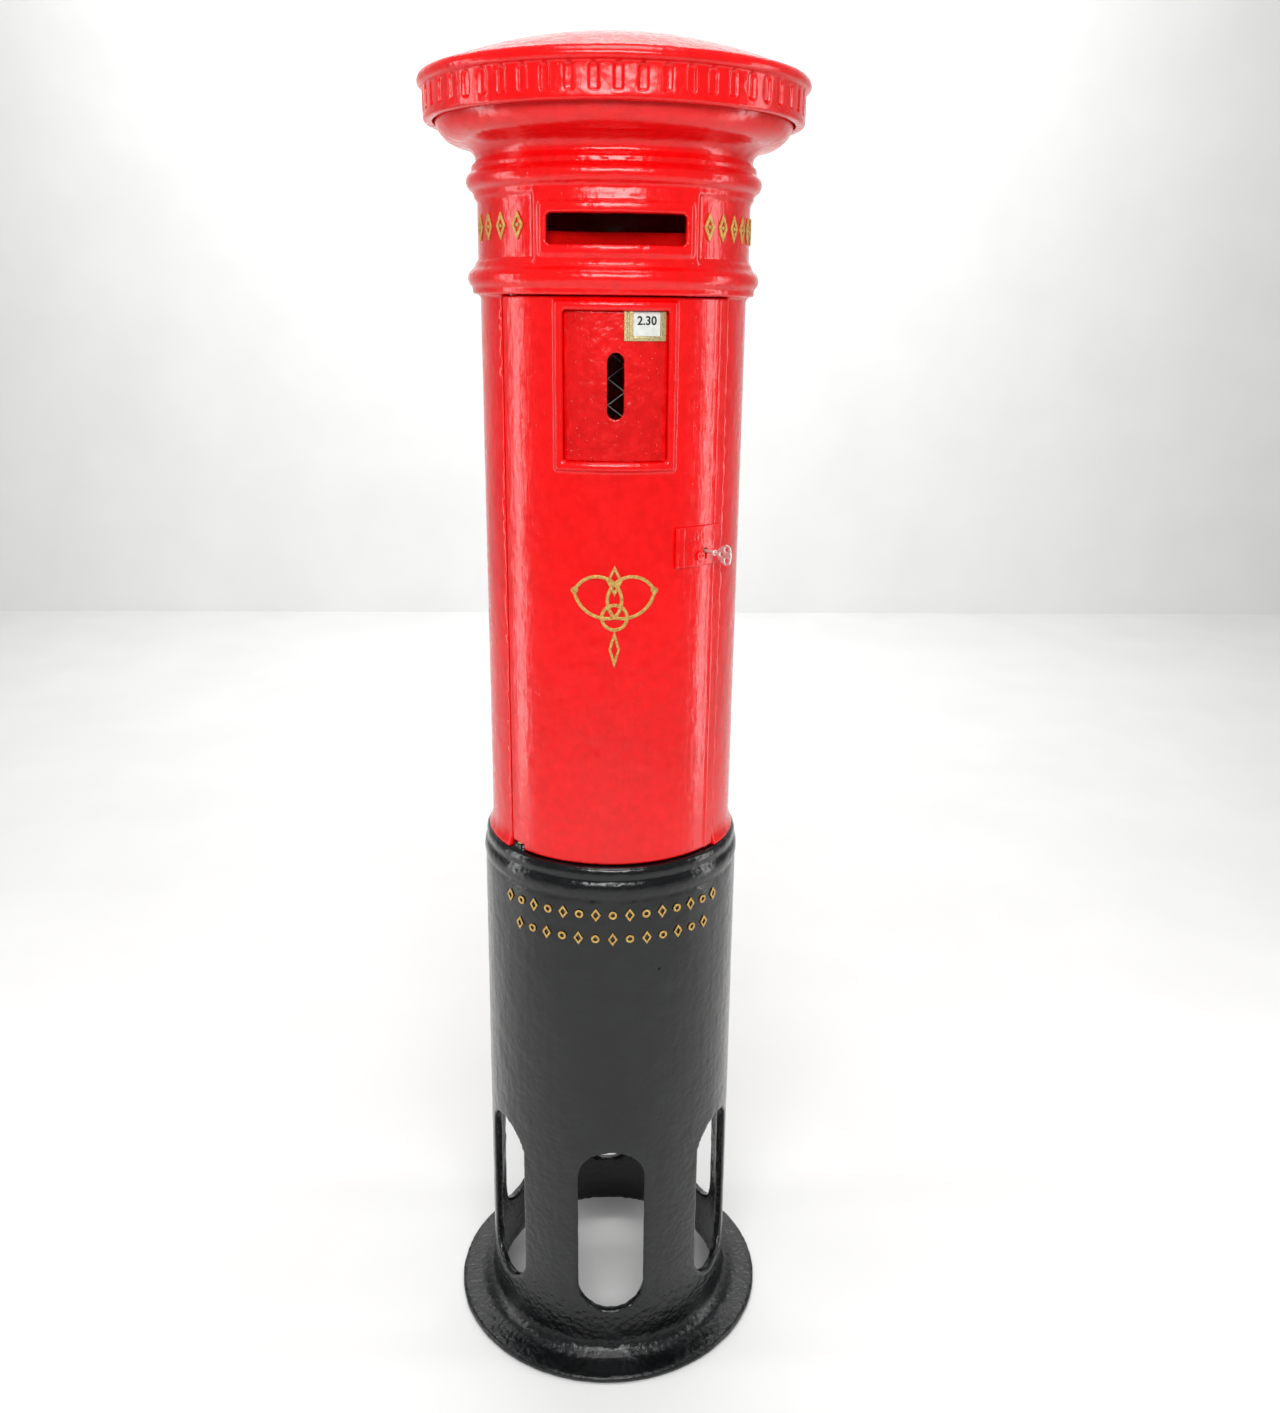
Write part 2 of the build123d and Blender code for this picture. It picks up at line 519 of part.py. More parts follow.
# ---- Lock keeper ----
def lock_keeper():
    low = BOLT_LOW - 11
    high = BOLT_LOW + BOLT_HEIGHT + 11
    body = block(LOCK_AZIMUTH, LOCK_HALF_WIDTH + 7, LOCK_HALF_WIDTH + 26, low, high, LOCK_INNER + 1, 182)
    body &= tube(0, BARREL_BORE, low, high)
    clear = 1.0
    pocket = block(LOCK_AZIMUTH, LOCK_HALF_WIDTH, BOLT_END + BOLT_THROW + 2, BOLT_LOW - clear,
                   BOLT_LOW + BOLT_HEIGHT + clear, BOLT_INNER - clear, BOLT_INNER + BOLT_THICKNESS + clear)
    return body - pocket


# ---- Door ----
def door_casting():
    left = SEAM_AZIMUTH
    right = DOOR_HALF_ANGLE
    shell = sector(DOOR_BORE, BARREL_RADIUS, left, right, DOOR_LOW, DOOR_HIGH)
    boss_inner = PIVOT_RING - PIVOT_DEPTH
    boss_end = left + arc_angle(PIVOT_BOSS_WIDTH)
    shell += sector(boss_inner, BARREL_RADIUS, left, boss_end, DOOR_LOW, DOOR_HIGH)
    # closing strip along the lock side, a little proud
    shell += sector(BARREL_RADIUS - 2, BARREL_RADIUS + 1.4, right - 6, right, DOOR_LOW, DOOR_HIGH)
    # the hinge edge is round about the pivot
    corner = upright(PIVOT.X, PIVOT.Y, 60, DOOR_LOW, DOOR_HIGH)
    edge_keep = upright(PIVOT.X, PIVOT.Y, DOOR_EDGE_SWEEP, DOOR_LOW, DOOR_HIGH)
    edge_zone = corner & sector(100, 260, left - 20, PIVOT_AZIMUTH, DOOR_LOW, DOOR_HIGH)
    shell -= edge_zone - edge_keep
    # stiffening ribs inside
    for height in (DOOR_LOW + 150, DOOR_LOW + 275, DOOR_LOW + 395, PLATE_LOW - 18):
        shell += sector(DOOR_BORE - 7, DOOR_BORE + 1, boss_end - 0.5, right - 10, height, height + 8)
    # notice moulding: a stepped frame, rounded on top
    half = PLATE_WIDTH / 2
    frame_steps = ((0.0, MOULDING_WIDTH, 4.0), (1.5, MOULDING_WIDTH - 1.0, 6.0),
                   (3.0, MOULDING_WIDTH - 1.5, MOULDING_RISE))
    for inset, grow, rise in frame_steps:
        outer = block(0, -half - grow, half + grow, PLATE_LOW - grow, PLATE_HIGH + grow, 100, 260)
        inner = block(0, -half - inset, half + inset, PLATE_LOW - inset, PLATE_HIGH + inset, 90, 270)
        shell += (outer - inner) & tube(DOOR_BORE + 2, BARREL_RADIUS + rise, DOOR_LOW, DOOR_HIGH + 50)
    # rebated window for the notice plate, with a full-depth way out for the day tablet
    rebate = block(0, -half, half, PLATE_LOW, PLATE_HIGH, PLATE_INNER - 30, 260)
    shell -= rebate & tube(PLATE_INNER, 260, 0, TALL)
    shell -= block(0, -half + LEDGE, half - LEDGE, PLATE_LOW + LEDGE, PLATE_HIGH - LEDGE, 100, 260)
    shell -= tablet_way(1.0)
    # lower notch over the pivot pad, pivot bores, keyhole
    notch_top = PAD_TOP + WASHER_THICKNESS + RUNNING_GAP
    shell -= sector(100, 260, left - 10, PAD_END + arc_angle(2.0), DOOR_LOW - 1, notch_top)
    bore = PIVOT_RADIUS + PIVOT_CLEARANCE
    shell -= upright(PIVOT.X, PIVOT.Y, bore, DOOR_LOW - 1, PAD_TOP + 30)
    shell -= upright(PIVOT.X, PIVOT.Y, bore, DOOR_HIGH - 26, DOOR_HIGH + 1)
    shell -= keyhole(DOOR_BORE - 20, 260)
    for azimuth, height in rivet_places():
        shell -= radial_bar(azimuth, 0, height, SMALL_SCREW_RADIUS + 1.5, 150, BARREL_RADIUS - 2)
    shell -= radial_bar(*SECURITY_SCREW, 4.0, 150, 260)
    return shell


def keyhole(inner, outer):
    """Round shank hole with the slot for the bit below it."""
    hole = radial_bar(LOCK_AZIMUTH, KEY_OFFSET, KEY_HEIGHT, KEY_SHANK_RADIUS + 1.2, inner, outer)
    left = KEY_OFFSET - 1.8
    right = KEY_OFFSET + 1.8
    return hole + block(LOCK_AZIMUTH, left, right, KEY_HEIGHT - 11.5, KEY_HEIGHT, inner, outer)


def tablet_way(clearance):
    half = TABLET_WIDTH / 2 + clearance
    low = TABLET_LOW - clearance
    return block(TABLET_AZIMUTH, -half, half, low, TABLET_HIGH + clearance, 120, PLATE_OUTER + 0.5)


def rivet_places():
    azimuth = SEAM_AZIMUTH + arc_angle(RIVET_OFFSET)
    return [(azimuth, height) for height in UPPER_RIVETS + LOWER_RIVETS]


SECURITY_SCREW = (38.8, 0.0, KEY_HEIGHT - 6)


def hinge_plate(heights):
    """A wrought plate inside the door that ties the pivot boss to the shell."""
    azimuth = SEAM_AZIMUTH + arc_angle(RIVET_OFFSET)
    inner = PIVOT_RING - PIVOT_DEPTH
    plate = sector(inner - 5, inner, azimuth - 2.6, azimuth + 2.6, min(heights) - 9, max(heights) + 9)
    for height in heights:
        plate -= radial_bar(azimuth, 0, height, SMALL_SCREW_RADIUS + 1.5, 150, 200)
    return plate


def hinge_rivets():
    rivets = []
    inner = PIVOT_RING - PIVOT_DEPTH - 5
    head_radius = SMALL_SCREW_RADIUS + 3.5
    for azimuth, height in rivet_places():
        shank = radial_bar(azimuth, 0, height, SMALL_SCREW_RADIUS + 1.5, inner, BARREL_RADIUS - 2)
        seat = sqrt(inner ** 2 - head_radius ** 2)
        head = radial_bar(azimuth, 0, height, head_radius, inner - 3, seat)
        rivets.append(shank + head)
    return Compound(children=rivets)


def notice_plate():
    half = PLATE_WIDTH / 2 - PAINT_GAP
    outline = block(0, -half, half, PLATE_LOW + PAINT_GAP, PLATE_HIGH - PAINT_GAP, 100, 260)
    plate = outline & tube(PLATE_INNER, PLATE_OUTER, PLATE_LOW - 5, PLATE_HIGH + 5)
    slot_centre = (SLOT_LOW + SLOT_HIGH) / 2
    slot = Rot(0, 0, 90) * SlotOverall(SLOT_HIGH - SLOT_LOW, SLOT_WIDTH)
    plate -= facing(0) * Pos(0, slot_centre, 100) * extrude(slot, 160)
    plate -= tablet_way(0.5)
    for azimuth, height in plate_screw_places():
        plate -= radial_bar(azimuth, 0, height, SMALL_SCREW_RADIUS, 150, 200)
    return plate


def plate_screw_places():
    side = arc_angle(PLATE_WIDTH / 2 - 10)
    inset = 12.0
    below_holder = PLATE_LOW + 120.0
    left_places = [(-side, PLATE_LOW + inset), (-side, PLATE_HIGH - inset)]
    return left_places + [(side, PLATE_LOW + inset), (side, below_holder)]


def plate_screws():
    screws = []
    for azimuth, height in plate_screw_places():
        shank = radial_bar(azimuth, 0, height, SMALL_SCREW_RADIUS, PLATE_INNER, PLATE_OUTER)
        head = radial_bar(azimuth, 0, height, SMALL_SCREW_RADIUS + 1.8, PLATE_OUTER, PLATE_OUTER + 1.6)
        screws.append(shank + head)
    return Compound(children=screws)


def tablet_holder():
    """Brass surround: two bars on the left, one on the right, one below."""
    seat = PLATE_OUTER
    face = seat + HOLDER_THICKNESS
    outer = block(0, HOLDER_LEFT, HOLDER_RIGHT, TABLET_LOW - 6, PLATE_HIGH - 0.5, 100, 260)
    frame = outer & tube(seat, face, TABLET_LOW - 20, PLATE_HIGH)
    half = TABLET_WIDTH / 2 + 0.4
    frame -= block(TABLET_AZIMUTH, -half, half, TABLET_LOW - 0.4, PLATE_HIGH + 1, 100, 260)
    channel = block(0, HOLDER_LEFT + 4, HOLDER_LEFT + 7, TABLET_LOW - 10, PLATE_HIGH + 1, 100, 260)
    return frame - (channel & tube(face - 1.4, 260, 0, TALL))


def day_tablet():
    half = TABLET_WIDTH / 2
    outline = block(TABLET_AZIMUTH, -half, half, TABLET_LOW, TABLET_HIGH, 100, 260)
    return outline & tube(PLATE_OUTER - 1.5, PLATE_OUTER + 0.5, TABLET_LOW - 5, TABLET_HIGH + 5)


# ---- Lock ----
def lock_pad():
    face = BARREL_RADIUS + PAD_RISE
    pad = sector(BARREL_RADIUS, face, PAD_LEFT_AZIMUTH, PAD_RIGHT_AZIMUTH, PAD_LOW, PAD_HIGH)
    for azimuth in (PAD_LEFT_AZIMUTH, PAD_LEFT_AZIMUTH + 2.8):
        pad += sector(BARREL_RADIUS, face + 2, azimuth, azimuth + 1.3, PAD_LOW, PAD_HIGH)
    pad -= sector(BARREL_RADIUS - 2, BARREL_RADIUS + 1.4, DOOR_HALF_ANGLE - 6, DOOR_HALF_ANGLE,
                  PAD_LOW - 1, PAD_HIGH + 1)
    pad -= keyhole(150, 260)
    pad -= radial_bar(*SECURITY_SCREW, 4.0, 150, 260)
    return pad


def security_screw():
    """Two-hole screw that holds the lock against the back of the door."""
    azimuth, offset, height = SECURITY_SCREW
    seat = BARREL_RADIUS + PAD_RISE
    screw = radial_bar(azimuth, offset, height, 4.0, LOCK_OUTER + 1, seat)
    screw += radial_bar(azimuth, offset, height, 7.5, seat, seat + 3)
    for side in (-3, 3):
        screw -= radial_bar(azimuth, side, height, 1.3, seat + 1, seat + 4)
    return screw


def lock_box(inset):
    return block(LOCK_AZIMUTH, -LOCK_HALF_WIDTH + inset, LOCK_HALF_WIDTH - inset, LOCK_LOW + inset,
                 LOCK_HIGH - inset, LOCK_INNER + inset, LOCK_OUTER - inset)


def bolt_way(clearance):
    inner = BOLT_INNER - clearance
    outer = BOLT_INNER + BOLT_THICKNESS + clearance
    high = BOLT_LOW + BOLT_HEIGHT + clearance
    return block(LOCK_AZIMUTH, 0, LOCK_HALF_WIDTH + 20, BOLT_LOW - clearance, high, inner, outer)


def lock_case():
    case = lock_box(0) - lock_box(LOCK_WALL)
    case -= bolt_way(RUNNING_GAP)
    case -= keyhole(LOCK_OUTER - 5, LOCK_OUTER + 5)
    lid_zone = block(LOCK_AZIMUTH, -60, 60, 0, TALL, LOCK_INNER - 5, LOCK_INNER + LOCK_WALL)
    case -= lid_zone
    # a fixing tail that the two-hole screw enters
    azimuth, offset, height = SECURITY_SCREW
    post = radial_bar(azimuth, offset, height, 7.0, LOCK_OUTER - 3, LOCK_OUTER + 1)
    case += post - lock_box(LOCK_WALL)
    return case


def lock_lid():
    lid = block(LOCK_AZIMUTH, -LOCK_HALF_WIDTH, LOCK_HALF_WIDTH, LOCK_LOW, LOCK_HIGH, LOCK_INNER,
                LOCK_INNER + LOCK_WALL)
    for offset, height in lid_screw_places():
        lid -= radial_bar(LOCK_AZIMUTH, offset, height, SMALL_SCREW_RADIUS, LOCK_INNER - 5, LOCK_INNER + 5)
    return lid


def lid_screw_places():
    inset = 6.0
    return [(side * (LOCK_HALF_WIDTH - inset), height) for side in (-1, 1)
            for height in (LOCK_LOW + inset, LOCK_HIGH - inset)]


def lid_screws():
    screws = []
    radius = SMALL_SCREW_RADIUS
    for offset, height in lid_screw_places():
        shank = radial_bar(LOCK_AZIMUTH, offset, height, radius, LOCK_INNER, LOCK_INNER + LOCK_WALL)
        head = radial_bar(LOCK_AZIMUTH, offset, height, radius + 1.6, LOCK_INNER - 1.6, LOCK_INNER)
        screws.append(shank + head)
    return Compound(children=screws)


def lock_mounts():
    """Two cast-on style packing lugs between the shell and the lock case."""
    lugs = []
    for height in (LOCK_LOW + 7, LOCK_HIGH - 7):
        lug = block(LOCK_AZIMUTH, -26, -4, height - 5, height + 5, LOCK_OUTER, 185)
        lugs.append(lug & tube(0, DOOR_BORE, height - 5, height + 5))
    return Compound(children=lugs)


def lock_bolt():
    return block(LOCK_AZIMUTH, -14, BOLT_END, BOLT_LOW, BOLT_LOW + BOLT_HEIGHT, BOLT_INNER,
                 BOLT_INNER + BOLT_THICKNESS)


def key():
    """Shank, bit and a fan-shaped pierced bow that stands upright."""
    tip = LOCK_INNER + LOCK_WALL + 1.5
    bow_start = BARREL_RADIUS + 26
    shank = radial_bar(LOCK_AZIMUTH, KEY_OFFSET, KEY_HEIGHT, KEY_SHANK_RADIUS, tip, bow_start + 4)
    collar_radius = KEY_SHANK_RADIUS + 1.6
    collar = radial_bar(LOCK_AZIMUTH, KEY_OFFSET, KEY_HEIGHT, collar_radius, bow_start - 7, bow_start - 4)
    bit = block(LOCK_AZIMUTH, KEY_OFFSET - 1.1, KEY_OFFSET + 1.1, KEY_HEIGHT - 10, KEY_HEIGHT,
                LOCK_INNER + 6, LOCK_INNER + 16)
    upright_plane = facing(LOCK_AZIMUTH) * Pos(KEY_OFFSET, KEY_HEIGHT, 0) * Rot(0, -90, 0)
    outline = Polyline((bow_start, -3), (bow_start + 9, -11), (bow_start + 19, -15), (bow_start + 27, -12),
                       (bow_start + 30, 0), (bow_start + 27, 12), (bow_start + 19, 15), (bow_start + 9, 11),
                       (bow_start, 3), close=True)
    bow = fillet(make_face(outline).vertices(), 2.0)
    piercings = ((bow_start + 20, 8, 4.2), (bow_start + 20, -8, 4.2), (bow_start + 10, 0, 3.4))
    for along, across, radius in piercings:
        bow -= Pos(along, across) * Circle(radius)
    thickness = 3.0
    plate = upright_plane * Pos(0, 0, -thickness / 2) * extrude(bow, thickness)
    return shank + collar + bit + plate


# ---- Gilt ornament, raised on the castings ----
def on_barrel(sketch, radius, azimuth=0.0, rise=GILT_RISE):
    """A flat pattern drawn about (0, height) stood up on a cylinder of a given radius."""
    tool = facing(azimuth) * Pos(0, 0, radius - 60) * extrude(sketch, 90)
    return tool & tube(radius, radius + rise, 0, TALL)


def lozenge_ring(width, height, stroke):
    outer = Polyline((0, height / 2), (width / 2, 0), (0, -height / 2), (-width / 2, 0), close=True)
    ring = make_face(outer)
    shrink = 1 - 2 * stroke / width
    inner = Polyline((0, height / 2 * shrink), (width / 2 * shrink, 0), (0, -height / 2 * shrink),
                     (-width / 2 * shrink, 0), close=True)
    return ring - make_face(inner)


def frieze_ornament(azimuths, width):
    height = (APERTURE_LOW + 6 + APERTURE_HIGH + 5) / 2
    pieces = []
    for azimuth in azimuths:
        motif = lozenge_ring(width, 36, 4.6) + Circle(2.6)
        pieces.extend(on_barrel(Pos(0, height) * motif, FRIEZE_RADIUS, azimuth).solids())
    return Compound(children=pieces)


def plinth_ornament(height, count, spread):
    """A row of small lozenges and discs, with bars between."""
    pieces = []
    radius = PLINTH_RADIUS_HIGH + 0.9
    for index in range(count):
        azimuth = -spread + 2 * spread * index / (count - 1)
        if index % 2:
            motif = Circle(6.5) - Circle(3.2)
        else:
            motif = lozenge_ring(15, 22, 3.4)
        pieces.extend(on_barrel(Pos(0, height) * motif, radius, azimuth, 1.6).solids())
    return Compound(children=pieces)


def door_emblem():
    """Generic fleuron: a central bud, a ring, two upper scrolls and two lower tendrils."""
    stroke = 4.6
    centre = PLINTH_HEIGHT + 382.0
    upper = [JernArc((0, 0), (1, 1), 34, 200), JernArc((0, 0), (1, -0.25), 46, 95)]
    sketch = Circle(20) - Circle(20 - stroke)
    for side in (1, -1):
        for curve in upper:
            branch = trace(curve, stroke)
            sketch += branch if side == 1 else mirror(branch, Plane.YZ)
        bulb_places = [curve @ 1 for curve in upper]
        for place in bulb_places:
            sketch += Pos(side * place.X, place.Y) * Circle(4.4)
    bud = Pos(0, 52) * lozenge_ring(22, 44, 4.0)
    tail = Pos(0, -46) * lozenge_ring(16, 56, 3.6)
    sketch += bud + tail
    solids = on_barrel(Pos(0, centre) * sketch, BARREL_RADIUS).solids()
    return Compound(children=solids)


def pivot_pin(low, high):
    return upright(PIVOT.X, PIVOT.Y, PIVOT_RADIUS, low, high)


def pivot_washer():
    washer = upright(PIVOT.X, PIVOT.Y, 8.0, PAD_TOP, PAD_TOP + WASHER_THICKNESS)
    return washer - pivot_pin(PAD_TOP - 1, PAD_TOP + 5)


def main():
    os.makedirs("parts", exist_ok=True)
    body_bolts, body_nuts = flange_fasteners()
    nodes = {
        "base_casting": base_casting(),
        "body_casting": body_casting(),
        "cap_casting": cap_casting(),
        "body_bolts": body_bolts,
        "body_nuts": body_nuts,
        "cap_bolts": cap_bolts(),
        "letter_chute": letter_chute(),
        "chute_brackets": chute_brackets(),
        "letter_floor": letter_floor(),
        "guard_frame": guard_frame(),
        "guard_mesh": guard_mesh(),
        "guard_lugs": guard_lugs(),
        "guard_stop": guard_stop(),
        "lock_keeper": lock_keeper(),
        "upper_pivot_pin": pivot_pin(DOOR_HIGH - 25, HEAD_BOTTOM + 17),
        "lower_pivot_pin": pivot_pin(PLINTH_HEIGHT - PLINTH_FLANGE_THICKNESS, PAD_TOP + 29),
        "pivot_washer": pivot_washer(),
        "left_frieze_ornament": frieze_ornament([-72.0, -62.0, -52.0, -42.0], 21),
        "right_frieze_ornament": frieze_ornament([39.5 + 8.0 * index for index in range(6)], 19),
        "plinth_upper_ornament": plinth_ornament(PLINTH_HEIGHT - 74.0, 15, 50.0),
        "plinth_lower_ornament": plinth_ornament(PLINTH_HEIGHT - 114.0, 13, 44.0),
        "door_casting": door_casting(),
        "upper_hinge_plate": hinge_plate(UPPER_RIVETS),
        "lower_hinge_plate": hinge_plate(LOWER_RIVETS),
        "hinge_rivets": hinge_rivets(),
        "notice_plate": notice_plate(),
        "plate_screws": plate_screws(),
        "tablet_holder": tablet_holder(),
        "day_tablet": day_tablet(),
        "door_emblem": door_emblem(),
        "lock_pad": lock_pad(),
        "security_screw": security_screw(),
        "lock_case": lock_case(),
        "lock_mounts": lock_mounts(),
        "lock_lid": lock_lid(),
        "lid_screws": lid_screws(),
        "lock_bolt": lock_bolt(),
        "key": key(),
    }
    for name, shape in nodes.items():
        save(name, shape)
    print(f"{len(nodes)} nodes; door pivot at x {PIVOT.X:.2f}, y {PIVOT.Y:.2f}")


main()
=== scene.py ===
import bmesh
import bpy
import json
from math import atan2, cos, degrees, radians, sin
from mathutils import Matrix, Vector, noise


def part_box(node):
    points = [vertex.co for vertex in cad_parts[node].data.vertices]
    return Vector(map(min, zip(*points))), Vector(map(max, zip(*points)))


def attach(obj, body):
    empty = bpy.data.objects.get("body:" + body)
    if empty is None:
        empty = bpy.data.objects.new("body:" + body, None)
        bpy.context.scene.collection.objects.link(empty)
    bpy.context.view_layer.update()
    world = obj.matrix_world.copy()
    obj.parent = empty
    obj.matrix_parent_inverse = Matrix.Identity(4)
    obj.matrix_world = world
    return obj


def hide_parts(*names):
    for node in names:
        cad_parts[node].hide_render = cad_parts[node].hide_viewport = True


# %% [markdown]
# # A cast-iron letter pillar box
# The box is three heavy sand castings stacked on each other: a black plinth, a red barrel with its
# moulded head, and a fluted cap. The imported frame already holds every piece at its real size.
# Here each piece gets the surface that years of hand-painted gloss enamel leave on cast iron.

# %% Load the frame
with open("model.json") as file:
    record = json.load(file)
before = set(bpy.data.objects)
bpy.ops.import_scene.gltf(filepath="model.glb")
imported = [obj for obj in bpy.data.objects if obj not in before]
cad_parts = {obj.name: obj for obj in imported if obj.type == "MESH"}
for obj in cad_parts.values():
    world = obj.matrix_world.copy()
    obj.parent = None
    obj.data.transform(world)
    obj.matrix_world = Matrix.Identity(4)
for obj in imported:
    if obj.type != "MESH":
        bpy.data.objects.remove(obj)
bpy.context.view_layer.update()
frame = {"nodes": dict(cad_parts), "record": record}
nodes = frame["nodes"]
behaviour = frame["record"]["behaviour"]
MM = 0.001

# %% [markdown]
# ## Places on a round barrel
# Most things on this box sit on a cylinder, so a place is easiest to give as a radius, an azimuth
# and a height. Azimuth 0 is the front (-Y) and it grows towards +X. The helper turns that into a
# point, and sizes are read back from the frame instead of being typed in again.

# %% Round places
def polar(radius, azimuth, height):
    angle = radians(azimuth)
    return Vector((radius * sin(angle), -radius * cos(angle), height))


door_low, door_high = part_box("door_casting")
print("door height in mm:", round((door_high.z - door_low.z) / MM))

# %% [markdown]
# ## Colour
# Paint charts give sRGB hex values, while a renderer works in linear light. One function turns the
# first into the second, and every colour below goes through it.

# %% Colour
def srgb(code):
    channels = [int(code[index:index + 2], 16) / 255 for index in (0, 2, 4)]
    linear = [c / 12.92 if c <= 0.04045 else ((c + 0.055) / 1.055) ** 2.4 for c in channels]
    return (*linear, 1.0)


print("pillar red in linear light:", [round(c, 3) for c in srgb("D2100C")[:3]])

# %% [markdown]
# ## One helper for shader nodes
# A material is a small graph. This helper adds one node, sets its values, links its inputs and, for
# a colour ramp, places its stops. It does so in a single call, so each material below reads as a
# list of what it is made of.

# %% Shader node helper
def add(tree, kind, settings=None, links=None, stops=()):
    node = tree.nodes.new("ShaderNode" + kind)
    for name, value in (settings or {}).items():
        if name in node.inputs:
            node.inputs[name].default_value = value
        else:
            setattr(node, name, value)
    for name, socket in (links or {}).items():
        tree.links.new(socket, node.inputs[name])
    for index, (position, colour) in enumerate(stops):
        # a new ramp already has two stops, and every ramp in this file needs just those
        node.color_ramp.elements[index].position = position
        node.color_ramp.elements[index].color = colour
    return node


def new_material(name):
    material = bpy.data.materials.new(name)
    material.use_nodes = True
    tree = material.node_tree
    tree.nodes.clear()
    place = add(tree, "TexCoord").outputs["Object"]
    return material, tree, place


def grey(value):
    return (value, value, value, 1)


def finish_material(tree, shader):
    add(tree, "OutputMaterial", links={"Surface": shader.outputs["BSDF"]})


def size_scale(millimetres):
    """Noise scale whose features are about this wide."""
    return 1 / (millimetres * MM)


print("a 10 mm grain is noise scale", size_scale(10))

# %% [markdown]
# ## Gloss enamel over cast iron
# Alkyd gloss enamel, IOR about 1.5, brushed on by hand many times over a sand casting. The eye reads
# it by three things: a strong clean red, a sharp wet highlight, and a highlight edge that wobbles.
# The wobble has several sizes: waves of about 30 mm from the casting, brush ridges of a few
# millimetres and small craters where the paint bridged a pit. Bump carries the small ones; the
# large ones are moved into the mesh later.

# %% Red gloss enamel
PAINT_IOR = 1.5


def gloss_enamel(name, light, dark, wave=0.8, pits=0.4, ridges=0.5, rough=0.17):
    material, tree, place = new_material(name)
    cloud = add(tree, "TexNoise", {"Scale": size_scale(260), "Detail": 3.0}, {"Vector": place})
    mottle = add(tree, "TexNoise", {"Scale": size_scale(14), "Detail": 5.0}, {"Vector": place})
    tone = add(tree, "Mix", {"data_type": "FLOAT", "Factor": 0.45},
               {"A": cloud.outputs["Fac"], "B": mottle.outputs["Fac"]})
    colour = add(tree, "ValToRGB", links={"Fac": tone.outputs["Result"]}, stops=[(0.32, dark), (0.62, light)])
    sheen = add(tree, "ValToRGB", links={"Fac": mottle.outputs["Fac"]},
                stops=[(0.35, grey(rough)), (0.75, grey(rough + 0.10))])
    lumps = add(tree, "TexNoise", {"Scale": size_scale(24), "Detail": 2.0}, {"Vector": place})
    stretch = add(tree, "Mapping", {"Scale": (1.0, 1.0, 0.16)}, {"Vector": place})
    brush = add(tree, "TexNoise", {"Scale": size_scale(4.5), "Detail": 4.0},
                {"Vector": stretch.outputs["Vector"]})
    cell = add(tree, "TexVoronoi", {"Scale": size_scale(8), "feature": "F1"}, {"Vector": place})
    crater = add(tree, "ValToRGB", links={"Fac": cell.outputs["Distance"]},
                 stops=[(0.04, grey(0.0)), (0.16, grey(1.0))])
    bump_lumps = add(tree, "Bump", {"Strength": wave, "Distance": 1.6 * MM}, {"Height": lumps.outputs["Fac"]})
    bump_brush = add(tree, "Bump", {"Strength": ridges, "Distance": 0.6 * MM},
                     {"Height": brush.outputs["Fac"], "Normal": bump_lumps.outputs["Normal"]})
    bump_pits = add(tree, "Bump", {"Strength": pits, "Distance": 0.6 * MM},
                    {"Height": crater.outputs["Color"], "Normal": bump_brush.outputs["Normal"]})
    shader = add(tree, "BsdfPrincipled", {"IOR": PAINT_IOR, "Metallic": 0.0},
                 {"Base Color": colour.outputs["Color"], "Roughness": sheen.outputs["Color"],
                  "Normal": bump_pits.outputs["Normal"]})
    finish_material(tree, shader)
    return material


RED_LIGHT = srgb("EA0508")
RED_DARK = srgb("D20407")
body_enamel = gloss_enamel("gloss_enamel_on_cast_iron", RED_LIGHT, RED_DARK)
door_enamel = gloss_enamel("gloss_enamel_on_door", srgb("E90508"), srgb("D20407"), wave=0.6, pits=0.3)
plate_enamel = gloss_enamel("gloss_enamel_many_coats", srgb("DE0709"), srgb("B80507"), wave=1.0, pits=0.9,
                            ridges=0.6)
sheet_enamel = gloss_enamel("gloss_enamel_on_sheet_steel", srgb("C80C0A"), srgb("B00808"),
                            wave=0.2, pits=0.1)
print("red finishes:", body_enamel.name, door_enamel.name, plate_enamel.name, sheet_enamel.name)

# %% [markdown]
# ## Black bitumen enamel on rough iron
# The plinth is meant to stand in the ground, so its sand-cast skin was never fettled smooth. Black
# bitumen paint flows over the grain and leaves a glossy orange peel: the eye sees a near-black
# surface with hundreds of small glints. The grain is coarser towards the foot, where the casting
# was not dressed, so the bump gets stronger as the height falls.

# %% Black bitumen enamel
ROUGH_BELOW = 550 * MM


